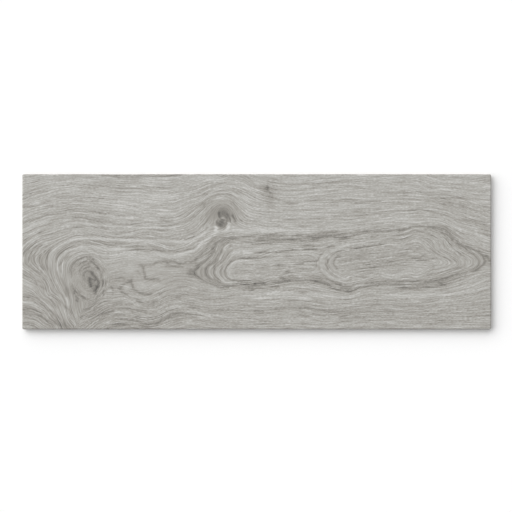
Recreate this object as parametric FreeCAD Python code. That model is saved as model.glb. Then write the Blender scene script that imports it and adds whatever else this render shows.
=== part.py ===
"""Wood-look porcelain plank tile: one pressed and fired body, lying on its keyed back.

Millimetres. +X runs along the plank, +Y across it, +Z out of the glazed face.
The origin is the middle of the plane that the back's ribs lie in.
"""

import FreeCAD
import Part

import math
import os

Vector = FreeCAD.Vector

# Work size of the fired tile, over its widest outline and from the ribs to the glazed face.
# It is the 600 x 200 mm module less a 2 mm joint
TILE_LENGTH = 598.0
TILE_WIDTH = 198.0
TILE_THICKNESS = 9.0

# Upper edge: the rounded arris that pressing leaves, and the small round left at the corners of the flat face
ARRIS_RADIUS = 1.5
FACE_CORNER_RADIUS = 0.5

# Lower edge: the sides lean in towards the back so that the tile leaves its die
DRAFT_HEIGHT = 3.5
DRAFT_INSET = 1.2

# Keyed back: a waffle of shallow pockets with cut corners, between ribs and inside a plain rim
POCKETS_ALONG = 24
POCKETS_ACROSS = 8
RIM_WIDTH = 6.0
RIB_WIDTH = 4.0
POCKET_DEPTH = 0.7
POCKET_WALL_INSET = 0.6
POCKET_CORNER_CUT = 3.0


def rounded_rectangle(length, width, radius, height):
    """A closed wire round the Z axis at that height, with the corners as quarter circles."""
    corner_x = length / 2 - radius
    corner_y = width / 2 - radius
    centres = [(corner_x, corner_y), (-corner_x, corner_y), (-corner_x, -corner_y), (corner_x, -corner_y)]
    corners = []
    for quarter, (x, y) in enumerate(centres):
        circle = Part.Circle(Vector(x, y, height), Vector(0, 0, 1), radius)
        start = quarter * math.pi / 2
        corners.append(Part.ArcOfCircle(circle, start, start + math.pi / 2))
    edges = []
    for corner, following in zip(corners, corners[1:] + corners[:1]):
        edges.append(corner.toShape())
        edges.append(Part.makeLine(corner.EndPoint, following.StartPoint))
    return Part.Wire(edges)


def pressed_body():
    """The plain tile: upright upper sides under a rounded arris, and lower sides that lean in to the back."""
    corner_radius = FACE_CORNER_RADIUS + ARRIS_RADIUS
    outline = rounded_rectangle(TILE_LENGTH, TILE_WIDTH, corner_radius, DRAFT_HEIGHT)
    back_outline = rounded_rectangle(
        TILE_LENGTH - 2 * DRAFT_INSET, TILE_WIDTH - 2 * DRAFT_INSET, corner_radius, 0
    )
    upper = Part.Face(outline).extrude(Vector(0, 0, TILE_THICKNESS - DRAFT_HEIGHT))
    lower = Part.makeLoft([back_outline, outline], True, True)
    body = upper.fuse(lower).removeSplitter()
    face = max(body.Faces, key=lambda f: f.CenterOfMass.z)
    return body.makeFillet(ARRIS_RADIUS, face.Edges)


def cut_corner_rectangle(length, width, cut, height):
    """A closed wire round the Z axis at that height, with the corners cut off at 45 degrees."""
    x, y = length / 2, width / 2
    points = []
    for side_x, side_y in [(1, 1), (-1, 1), (-1, -1), (1, -1)]:
        on_end = Vector(side_x * x, side_y * (y - cut), height)
        on_side = Vector(side_x * (x - cut), side_y * y, height)
        points += [on_end, on_side] if side_x == side_y else [on_side, on_end]
    return Part.makePolygon(points + points[:1])


def pocket_size(back_size, count):
    """The mouth of one pocket, where so many share a back that long or wide with its rims and ribs."""
    return (back_size - 2 * RIM_WIDTH - (count - 1) * RIB_WIDTH) / count


def keyed_back():
    """The pockets of the back as one compound, each narrowing from its mouth to its floor."""
    length = pocket_size(TILE_LENGTH - 2 * DRAFT_INSET, POCKETS_ALONG)
    width = pocket_size(TILE_WIDTH - 2 * DRAFT_INSET, POCKETS_ACROSS)
    floor_length = length - 2 * POCKET_WALL_INSET
    floor_width = width - 2 * POCKET_WALL_INSET
    mouth = cut_corner_rectangle(length, width, POCKET_CORNER_CUT, 0)
    floor = cut_corner_rectangle(floor_length, floor_width, POCKET_CORNER_CUT, POCKET_DEPTH)
    pocket = Part.makeLoft([mouth, floor], True, True)
    pockets = []
    for column in range(POCKETS_ALONG):
        for row in range(POCKETS_ACROSS):
            x = (column - (POCKETS_ALONG - 1) / 2) * (length + RIB_WIDTH)
            y = (row - (POCKETS_ACROSS - 1) / 2) * (width + RIB_WIDTH)
            pockets.append(pocket.translated(Vector(x, y, 0)))
    return Part.makeCompound(pockets)


def main():
    tile = pressed_body().cut(keyed_back())
    solids = tile.Solids
    print("solids", len(solids), "valid", tile.isValid(), "volume mm3", round(tile.Volume, 1))
    os.makedirs("parts", exist_ok=True)
    solids[0].exportStep("parts/plank_tile.step")


main()
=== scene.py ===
"""Looks of the wood-look porcelain plank tile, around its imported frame.

Metres: +X runs along the plank, +Y across it, +Z out of the glazed face.
The wood figure is laid out in the photograph's pixels: x runs right along +X, and y runs down along -Y.
"""

import math

import bmesh
import bpy
import numpy as np
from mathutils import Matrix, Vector, noise


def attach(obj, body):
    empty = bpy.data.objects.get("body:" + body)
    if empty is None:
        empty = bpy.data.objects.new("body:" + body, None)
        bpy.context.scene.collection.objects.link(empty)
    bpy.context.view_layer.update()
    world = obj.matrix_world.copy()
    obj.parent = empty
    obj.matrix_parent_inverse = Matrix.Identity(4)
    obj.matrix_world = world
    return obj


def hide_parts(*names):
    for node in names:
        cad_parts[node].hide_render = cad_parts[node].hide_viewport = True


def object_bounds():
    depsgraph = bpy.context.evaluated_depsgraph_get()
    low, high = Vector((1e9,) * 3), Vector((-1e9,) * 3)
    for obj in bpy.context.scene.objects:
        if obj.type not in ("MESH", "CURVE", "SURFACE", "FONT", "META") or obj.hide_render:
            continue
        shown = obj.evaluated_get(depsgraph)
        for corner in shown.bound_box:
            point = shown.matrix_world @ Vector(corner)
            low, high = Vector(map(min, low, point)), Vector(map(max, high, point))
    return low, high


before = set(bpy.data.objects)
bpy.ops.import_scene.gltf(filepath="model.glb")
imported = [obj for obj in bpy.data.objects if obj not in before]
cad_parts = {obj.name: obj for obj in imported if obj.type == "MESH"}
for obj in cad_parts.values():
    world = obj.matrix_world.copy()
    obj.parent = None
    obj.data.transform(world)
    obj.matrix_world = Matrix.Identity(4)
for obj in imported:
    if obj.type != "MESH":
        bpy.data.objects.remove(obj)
CAD_LOW, CAD_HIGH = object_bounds()

MM = 0.001

# The tile's own sizes: the outline and thickness come from the frame, the section follows the CAD part
HALF_LENGTH = CAD_HIGH.x
HALF_WIDTH = CAD_HIGH.y
FACE_HEIGHT = CAD_HIGH.z
ARRIS_RADIUS = 1.5 * MM
FACE_CORNER_RADIUS = 0.5 * MM
DRAFT_HEIGHT = 3.5 * MM
DRAFT_INSET = 1.2 * MM
POCKET_DEPTH = 0.7 * MM

# Heights that part the ribs' plane, the pockets and the rest of the tile
ABOVE_RIBS = 0.1 * POCKET_DEPTH
ABOVE_POCKETS = 1.1 * POCKET_DEPTH

# Points this close are merged, measures this close count as the same, and what lies this far below the face
# is on a side
MERGE_DISTANCE = 0.001 * MM
TOLERANCE = 0.01 * MM
SIDE_DROP = 0.3 * MM

# A number so small that it only keeps zero out of a division or a logarithm
TINY = 1e-9

# Fineness of the modelled face, whose columns stand closer where the figure is fine: place along the face,
# in photograph pixels, and gap between the columns there, as against the others
FACE_COLUMNS = 360
FACE_ROWS = 226
COLUMN_SPACING = [
    (22, 1.0), (112, 1.0), (122, 1.3), (168, 1.3), (180, 1.0), (240, 1.0), (256, 2.0), (300, 2.0),
    (312, 1.1), (342, 1.1), (356, 2.0), (396, 2.0), (408, 1.2), (491, 1.2),
]
SPACING_STEPS = 500
ARRIS_STEPS = 5
CORNER_STEPS = 3

# Edges that turn by less than this, in degrees, look round
SMOOTH_ANGLE = 30

# Map for baking: margin round each of its two parts, and share of its height that the back has
MAP_MARGIN = 0.004
MAP_BACK_SHARE = 0.28

# Pressed grain: depth under the darkest lines, darkness in grey levels that is pressed that deep, and
# margin along the arris where it fades out
RELIEF_DEPTH = 0.18 * MM
RELIEF_FULL = 40.0
RELIEF_MARGIN = 2 * MM

# Grey level of white, where black is 0
WHITE_LEVEL = 255

# How much stronger the growth lines are stored than they show, because the mesh and the streaks soften them
LINE_STRENGTH = 1.1

# Painted shade over the arris: grey levels taken off the print along the rounded edge, on all four sides
ARRIS_PAINTED_SHADE = -15

# The photograph: its size and the tile's outline in it, in pixels
PHOTO_SIZE = 512
TILE_LEFT, TILE_RIGHT = 22.15, 491.3
TILE_TOP, TILE_BOTTOM = 174.1, 329.4
PIXEL = 2 * HALF_LENGTH / (TILE_RIGHT - TILE_LEFT)
CENTRE_X = (TILE_LEFT + TILE_RIGHT) / 2
CENTRE_Y = (TILE_TOP + TILE_BOTTOM) / 2

# Camera: width of its sensor and focal length, in mm
SENSOR_WIDTH = 36
LENS_LENGTH = 100

# Drawing a line: short steps between two points, how many half widths it reaches to each side, and its
# strength at the very ends with how fast it rises from there
CURVE_STEPS = 6
LINE_REACH = 3
LINE_END_SHARE, LINE_END_RISE = 0.25, 8

# How steeply a soft shade falls off at its edge
SHADE_EDGE = 1.5

# Uneven lines from the loop's left end on: where that begins, over what length it comes in, length and
# width of the uneven places, all in pixels, and place in the noise
WOBBLE_START, WOBBLE_RAMP = 180, 15
WOBBLE_LENGTH, WOBBLE_WIDTH = 12, 3
WOBBLE_SEED = 3.5

# Fitting the fibres: pixels to one unit, how far the fit may leave a line, places worked out at a time, and
# step in pixels for reading their slope
FIBRE_SCALE = 100.0
FIBRE_SLACK = 0.002
PLACES_AT_ONCE = 4000
SLOPE_STEP = 0.5

# Lines that the fibres run along, each with its level, which is about its height at the plank's middle.
# Lines with the same level are one fibre that has come round the big knot
FIBRE_LINES = [
    (178, [(22, 178), (60, 173), (110, 172), (150, 173), (200, 170), (225, 168), (250, 171), (285, 176),
        (350, 173), (420, 173), (489, 178)]),
    (185, [(22, 186), (50, 180), (85, 178), (130, 180), (180, 180), (222, 176), (250, 179), (280, 185),
        (350, 181), (420, 182), (490, 188)]),
    (193, [(22, 200), (45, 192), (85, 185), (140, 189), (180, 190), (210, 182), (225, 179.4), (245, 181.6),
        (262, 188.6), (278, 193), (300, 194), (370, 191), (430, 194), (490, 203)]),
    (202, [(22, 209), (60, 199.5), (80, 199), (140, 203), (175, 204), (203, 194), (215, 189), (226, 187.2),
        (238, 189), (248, 193), (258, 198.5), (268, 201.6), (300, 202.5), (360, 199), (430, 199),
        (470, 209), (490, 213)]),
    (211, [(22, 224), (60, 212), (85, 210), (140, 215), (175, 214), (203, 201), (213, 195), (222, 193),
        (231, 194.6), (239, 200.4), (247, 205.6), (256, 209), (270, 210.6), (300, 210.5), (340, 209),
        (420, 206), (465, 214), (490, 221)]),
    (219, [(22, 233), (60, 219), (80, 217.5), (140, 222), (170, 222), (186, 217.6), (197, 209), (206, 202),
        (215, 198), (224, 197), (232, 199.6), (238, 205.6), (244, 211.6), (252, 215.6), (262, 217.4),
        (290, 218), (345, 217), (420, 211), (460, 220), (490, 227)]),
    (226, [(24, 247), (40, 236), (80, 226), (145, 229), (175, 229), (190, 225), (200, 216), (207, 208.6),
        (215, 203), (224, 201.5), (231, 204), (236, 210), (240, 217), (246, 221.4), (256, 223),
        (290, 223.6), (340, 223), (420, 218), (470, 229), (490, 236)]),
    (229, [(175, 236), (190, 232.4), (200, 226), (208, 217), (213, 211)]),
    (231, [(75, 325), (66, 310), (55, 287), (48, 268), (48, 257), (55, 248), (65, 242), (80, 237.5),
        (140, 240), (180, 241.5), (200, 235), (210, 230), (222, 231), (270, 231.5), (340, 229), (420, 222),
        (445, 224), (470, 235), (490, 243)]),
    (235, [(68, 300), (60, 280), (57, 265), (60, 255), (70, 248), (85, 244), (140, 247), (180, 251.5),
        (190, 249), (198, 243), (218, 235), (270, 236), (340, 232), (420, 226), (455, 235), (472, 243.6),
        (490, 248.6)]),
    (239, [(110, 256), (170, 258), (195, 257), (213, 244), (222, 239.5), (300, 239.5), (340, 235.5),
        (380, 231.5), (420, 228), (440, 231), (452, 240), (466, 247.6), (490, 252.8)]),
    (262, [(104, 280), (130, 276), (160, 272), (220, 270), (300, 265), (350, 262), (440, 259), (470, 261),
        (490, 262)]),
    (280, [(104, 290), (130, 294), (142, 296), (152, 293), (165, 287), (177, 283), (185, 282.6), (194, 285),
        (203, 287.4), (212, 288.6), (222, 288.4), (260, 285.5), (300, 281), (330, 286), (350, 290),
        (380, 283), (440, 283), (460, 277), (476, 273), (490, 270.5)]),
    (292, [(90, 309), (112, 300), (125, 298), (145, 304), (157, 301), (166, 296.8), (174, 294.4),
        (182, 294), (190, 295.4), (203, 297.6), (215, 298), (250, 296), (300, 292), (335, 297), (365, 294),
        (440, 292), (490, 278.5)]),
    (302, [(85, 318), (110, 306), (145, 310), (158, 307), (168, 302), (178, 300.4), (188, 301), (200, 303),
        (230, 304), (300, 302), (350, 304), (440, 299), (489, 292)]),
    (309, [(85, 326), (110, 311), (148, 315), (160, 312), (170, 306.6), (180, 304.6), (190, 305.6),
        (205, 308.6), (230, 310), (260, 310), (300, 308), (330, 312), (440, 307), (489, 303)]),
    (320, [(100, 326), (135, 320), (150, 322), (158, 320), (166, 316), (175, 313.6), (186, 313.4),
        (200, 315), (230, 318.4), (400, 320), (489, 318)]),
    (328, [(120, 328), (150, 330), (165, 329), (176, 325), (187, 322.6), (200, 323.6), (240, 326.5),
        (300, 328), (489, 328)]),
    (226, [(22, 268), (36, 278), (48, 296), (66, 325)]),
    (219, [(22, 278), (36, 285), (48, 299), (63, 325)]),
    (211, [(22, 295), (36, 299), (50, 312), (60, 325)]),
    (202, [(22, 308.5), (38, 312), (50, 322)]),
    (193, [(22, 313), (38, 317), (50, 325)]),
    (185, [(22, 323), (32, 324), (40, 328)]),
]

# Fibres of the long loop, which run round it: its outline, rings with levels that rise inward from there,
# the first of these levels among all the fibres, and the one inside which the fibres run straight again
LOOP_OUTLINE = [
    (222, 239), (265, 238), (290, 238.5), (315, 237), (340, 235.5), (362, 233), (385, 231), (408, 228.4),
    (425, 227), (440, 229), (450, 234), (456, 241), (466, 247), (476, 251), (483, 256.5), (485, 261),
    (482, 265.5), (475, 270), (464, 274), (452, 278), (440, 282), (420, 284), (378, 284), (362, 286.6),
    (350, 289.6), (338, 287.4), (324, 283), (308, 280.6), (288, 281), (270, 283.4), (250, 285), (232, 286),
    (218, 286), (208, 283), (199, 278.6), (192, 274), (197, 267), (205, 262), (211, 256), (214.6, 249),
    (217, 243.4),
]
LOOP_RINGS = [
    (0, LOOP_OUTLINE),
    (4, [(229, 241.6), (222.6, 246), (219.6, 253.6), (215.6, 260.6), (208.4, 266), (206.6, 271),
        (211, 279.4), (220, 284.6)]),
    (4, [(455, 243), (464, 248.6), (473.6, 254.6), (478.6, 261), (474.4, 268.6)]),
    (8, [(241, 251.4), (233.6, 253.6), (226, 261.6), (219, 267.6), (217.2, 271), (220, 278), (231, 282.6),
        (262, 281.6), (280, 279), (300, 276.4), (316, 277.6), (330, 280.8), (345, 284), (370, 280.6),
        (420, 279), (440, 275), (452, 271), (464, 267.4), (469, 263.6), (460, 256.4), (449, 248),
        (443, 239), (430, 233), (415, 232.4), (390, 237), (360, 241.5), (330, 245.5), (300, 249),
        (262, 251)]),
    (12, [(260, 258), (238, 259), (228, 264.8), (225.2, 272), (230.6, 279.6), (257, 279.4), (320, 268),
        (326, 273), (334, 278), (345, 281), (365, 278), (390, 277), (415, 275.6), (436, 271.6),
        (450, 267.4), (457, 263), (450, 257.6), (440, 252.6), (434, 247), (426, 240), (412, 238),
        (390, 242), (365, 245.6), (345, 248.6), (331, 252), (321, 258.4)]),
    (14, [(328, 262), (332, 256.6), (342, 253.6), (365, 251), (395, 247.6), (412, 245), (425, 249),
        (434, 255), (446, 262.6), (432, 267), (410, 271), (380, 272.6), (350, 274), (338, 272),
        (331, 267)]),
    (18, [(238, 271), (250, 269.6), (260, 268), (272, 266.8), (285, 265.6), (300, 264.4), (311, 264)]),
    (18, [(338, 262.6), (350, 261.8), (365, 261), (380, 260), (395, 259), (410, 258.6), (430, 260)]),
]
LOOP_LEVEL, CORE_LEVEL = 400, 15

# Seam where the fibres that wrap the big knot meet those that pass below it, from the plank's edge up to
# the knot, with the first level of the passing fibres, how far below that lines still guide them, and the
# place right of which they fit the rest
SEAM_FOOT, SEAM_HEAD = (74, 330), (87, 300)
PASSING_LEVEL = 281
PASSING_OVERLAP = 20
PASSING_FROM = 108

# The big knot, whose grain runs in rings: centre, half sizes, how much shorter its streaks are, and the
# share of its size at the middle where no way round is told apart
KNOT_CENTRE, KNOT_RADII = (89.5, 279), (20, 23.5)
RING_BREAKS = 4
KNOT_EYE = 0.01

# How fibres may crowd: narrowest and widest count of levels in a pixel that the streaks still follow
CROWDING_LIMITS = (0.12, 3.0)

# Where the streaks of the print are calm, and where the longest ones are strong: share that is added,
# centre, half length and half width, and turn in degrees
CALM_PLACES = [
    (-0.45, (150, 274), (48, 17), 0),
    (-0.55, (86, 282), (18, 22), 0),
    (-0.75, (221, 215), (16, 14), 0),
    (-0.2, (212, 262), (22, 24), 0),
    (-0.4, (326, 265), (12, 18), 0),
    (-0.2, (42, 275), (34, 62), 0),
    (-0.55, (480, 261), (9, 10), 0),
    (-0.3, (448, 262), (14, 8), 0),
]
LINED_PLACES = [
    (0.4, (40, 262), (32, 66), 0),
    (0.5, (95, 240), (60, 18), 0),
    (0.9, (205, 208), (28, 28), 0),
]

# Growth lines of the long loop: grey levels added along the middle, half width, and points
LOOP_LINES = [
    (-6, 4.0, [(222, 238.5), (250, 237.5), (290, 237.5), (320, 236.5), (345, 235.5), (362, 233), (380, 231),
        (400, 229.5), (425, 226.8), (440, 228.6), (448, 232), (453, 239), (464, 246.5), (478, 252),
        (485, 258), (483, 264)]),
    (-8, 4.0, [(476, 270), (460, 275), (450, 279.5), (436, 283.5), (415, 285), (390, 284), (374, 284.6),
        (360, 287.4), (349, 289.4), (338, 287.4), (322, 282.6), (306, 281), (290, 281.4), (270, 283.4),
        (245, 285.4), (226, 286)]),
    (-32, 0.9, [(228, 238.4), (235, 238.3), (240, 238.5)]),
    (-17, 1.3, [(241, 237.4), (248, 236.4), (256, 236)]),
    (-24, 1.3, [(257.6, 237.6), (263, 237.8), (270.6, 237.8)]),
    (-28, 0.9, [(264, 235.4), (275, 235.5), (287, 235.4)]),
    (-38, 0.9, [(271, 239.3), (280, 239.5), (295, 239.5), (304, 239.3)]),
    (-20, 1.0, [(254, 241.5), (264, 241.3), (282, 241.3), (297, 241.5)]),
    (-28, 0.9, [(250, 244.8), (259, 244.2), (265, 243.5), (272, 243.4)]),
    (-20, 0.9, [(242, 242.7), (252, 242.2)]),
    (-28, 1.1, [(291.6, 236.6), (296, 235.6), (303, 235.3)]),
    (-24, 1.2, [(306.6, 236.4), (313, 236.4)]),
    (-20, 0.8, [(304, 238.5), (310, 238.4), (317, 238.2)]),
    (-28, 1.1, [(299, 241.5), (306, 241.2), (312, 241), (319, 240.3)]),
    (-37, 1.2, [(312, 237.4), (320, 237.5), (325, 236.8), (330, 236.2), (336, 235.4), (343, 234.7)]),
    (-16, 1.0, [(313, 235.5), (320, 235.2), (327, 234.7)]),
    (-28, 1.0, [(317, 232.7), (328, 232.2), (338, 232)]),
    (-28, 1.5, [(333, 238), (340, 238.3), (345, 237.5), (349, 236.8)]),
    (-12, 1.4, [(341, 236), (350, 235.6), (357, 234.9)]),
    (-20, 1.2, [(352, 235.5), (357, 234.8), (361, 234.5), (365, 233.4), (370, 232.3)]),
    (-24, 1.1, [(369, 232), (375, 231.3), (380, 231.2), (386, 231.6), (393, 231.4)]),
    (-24, 1.0, [(355, 231.8), (362, 230.4), (369, 229.7)]),
    (-20, 1.0, [(384, 230), (398, 229.8), (405, 230)]),
    (-28, 1.1, [(398, 230.5), (405, 229.4), (408, 228.4), (412, 227.6)]),
    (-24, 0.9, [(410, 227.2), (415, 226.5), (420, 226.4), (426, 226.7)]),
    (-34, 1.2, [(427, 227), (431, 227.4), (435, 227.9)]),
    (-26, 1.2, [(433, 227.9), (439, 228.8), (444, 230.4)]),
    (-22, 2.0, [(444.6, 230.8), (448, 232), (451, 233.8)]),
    (-22, 1.3, [(450, 233.6), (451, 237.5), (452.6, 241)]),
    (-22, 1.2, [(452, 236), (455, 239.6), (459, 243), (463, 245.4), (467, 247.4), (472, 249),
        (476, 250.6)]),
    (-28, 1.1, [(455, 243), (458, 245), (461, 247.4), (464, 248.6), (466.6, 250.6), (470, 252.6),
        (473.6, 254.6), (476.6, 257.4), (478.4, 260), (479, 263), (477.6, 266), (474.4, 268.6)]),
    (-20, 1.0, [(465.6, 245.4), (469, 247.4), (473, 249.4), (477, 250.6)]),
    (-32, 1.5, [(476, 250.8), (479.6, 252.6), (482, 255), (484, 258), (485, 261.6), (483.4, 264.6),
        (480, 267), (477.6, 269.6), (473.4, 271)]),
    (-10, 1.9, [(470.6, 269.4), (474, 270.8), (477, 269.6)]),
    (-38, 1.4, [(485, 255), (488, 257.6), (490.6, 261.4)]),
    (-5, 1.4, [(473, 269.4), (466, 272.4), (461, 274.6)]),
    (-18, 1.1, [(459, 273), (454, 275.4), (449.4, 277)]),
    (-27, 1.3, [(450, 276.8), (446, 278.8), (443, 280), (439, 280.8), (434, 281.4), (429, 281.7)]),
    (-16, 1.1, [(431, 282), (424, 282.6), (417, 282)]),
    (-19, 0.8, [(421, 281.4), (408, 281.4), (398, 281.6), (391, 281.2), (383, 281.2)]),
    (-22, 0.8, [(428, 284.4), (412, 284.6), (400, 284.6), (391, 284.6)]),
    (-18, 1.1, [(433, 286.7), (438, 286), (442, 285.4), (447, 284.5)]),
    (-20, 1.1, [(438, 282.8), (442, 284.6), (446.6, 285.8)]),
    (-28, 1.4, [(400, 286.8), (404, 287.8), (408, 287.4)]),
    (-20, 1.1, [(408, 288.5), (420, 288), (433, 287.3)]),
    (-17, 1.7, [(373, 284.8), (377, 283.4), (380.6, 283.2)]),
    (-15, 1.1, [(362, 284.2), (370, 283.4), (375, 282.4)]),
    (-20, 1.4, [(378.6, 283.6), (384, 283.6), (390, 284.2)]),
    (-18, 1.5, [(373, 285.5), (366, 286.4), (362, 286.6), (357.6, 288.2)]),
    (-20, 1.4, [(340, 288.5), (345, 288.8), (350, 289.4), (354, 289), (359, 287.8)]),
    (-18, 1.0, [(345, 290.8), (351, 291.4), (356, 290.4)]),
    (-34, 1.4, [(314, 280.8), (320, 282.4), (325, 283.6), (330, 285.6)]),
    (-24, 1.2, [(328.6, 285.3), (333, 288.4), (337, 290), (341, 290.4)]),
    (-20, 1.6, [(334, 284.3), (338, 284.6), (342, 285.1)]),
    (-19, 1.1, [(287, 280.9), (298, 280.6), (312, 280.8), (318, 281.8)]),
    (-34, 1.1, [(271, 282.9), (277, 282.6), (281, 282.4), (284, 281.4), (290, 280.8)]),
    (-11, 1.3, [(263, 284.7), (270, 284), (275, 282.8)]),
    (-38, 1.1, [(254, 284.2), (258, 282.8), (261, 282.6), (265, 283.5)]),
    (-30, 1.2, [(226, 286), (234, 285.4), (238, 284.2), (243, 284.4), (248, 285), (253, 285.4),
        (258, 285.4)]),
    (-5, 0.9, [(236, 280.6), (243, 280.8), (252, 280.7), (257, 280.4)]),
    (-20, 0.9, [(244, 288.2), (251, 288.4), (263, 287.9)]),
    (-40, 0.8, [(249, 290.5), (254, 290.1)]),
    (-30, 1.0, [(270, 286.9), (279, 286.3)]),
    (-16, 0.8, [(294, 277.3), (301, 277.6), (309, 277.4), (316, 278.6), (322, 279.4), (329, 280.2)]),
    (-14, 0.8, [(302, 274.9), (309, 274.6), (315, 275.6), (322, 278)]),
    (-34, 1.4, [(279, 277.3), (283, 278.4), (285, 279.8)]),
]

# The nested turns at the left end of the loop
TURN_LINES = [
    (-26, 2.0, [(232, 238.6), (224, 239.6), (219, 241.6), (216, 244.4), (214, 248), (213.6, 251),
        (211.6, 254), (208.6, 257.6), (205, 261), (201, 263.6), (197.6, 266.2), (195, 269), (194, 272.4)]),
    (-24, 1.8, [(194, 271), (195.4, 275), (199, 277.6), (206, 281), (211, 283.8), (216, 286), (222, 287.4),
        (236, 286.8)]),
    (-9, 3.0, [(189, 269), (190, 274), (193, 278)]),
    (-17, 1.9, [(217, 236.4), (213, 240), (209, 244), (207, 248), (203, 252), (200, 256), (197, 259),
        (193, 262.4)]),
    (-24, 1.8, [(229, 241.6), (225, 243.4), (222.6, 246), (221.4, 250), (219.6, 253.6), (217.6, 257),
        (215.6, 260.6), (212, 263.4), (208.4, 266), (206.6, 269), (206.6, 272.6), (208, 276), (211, 279.4),
        (215, 282.4), (220, 284.6), (228, 286)]),
    (-18, 0.9, [(215.6, 264.6), (214.4, 268), (214.2, 271), (215, 275), (217.6, 279), (222, 282)]),
    (-26, 1.0, [(260, 258), (247, 258.2), (238, 259), (232, 261.4), (228, 264.8), (225.6, 268.6),
        (225.2, 272.4), (227, 276.4), (230.6, 279.6), (238, 281), (247, 281), (257, 280.4)]),
    (-16, 0.8, [(229, 256), (226, 260), (223.4, 264), (221.6, 268), (221, 272), (222.4, 276.6),
        (225.6, 280), (230, 281.8)]),
    (-12, 0.8, [(233, 250), (229.6, 253.4), (226.4, 257), (223.4, 260.6), (220.6, 264)]),
    (16, 1.5, [(252, 260), (240, 260.4), (234.6, 262.4), (231, 265.4), (229, 268.6), (228.6, 272.4),
        (230, 276.6), (233, 279)]),
    (18, 1.3, [(262, 251), (250, 251.8), (241, 251.4), (233.6, 253.6), (229.4, 258), (226, 261.6),
        (222, 265), (219, 267.6), (217.6, 271), (218.4, 275), (221, 278.8), (225.4, 281.4), (232, 282.6),
        (242, 282.6)]),
    (12, 0.9, [(228, 247.6), (225.6, 250.6), (222, 256), (219.6, 260), (217.8, 263.4)]),
    (9, 1.4, [(211, 266.4), (210.4, 270), (211.4, 274.6), (215, 279)]),
    (20, 1.1, [(228, 245.4), (225.6, 247.6), (225, 250.4)]),
    (7, 1.2, [(226, 240.8), (219.6, 245), (217.4, 250), (215, 255), (211, 260)]),
]

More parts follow.
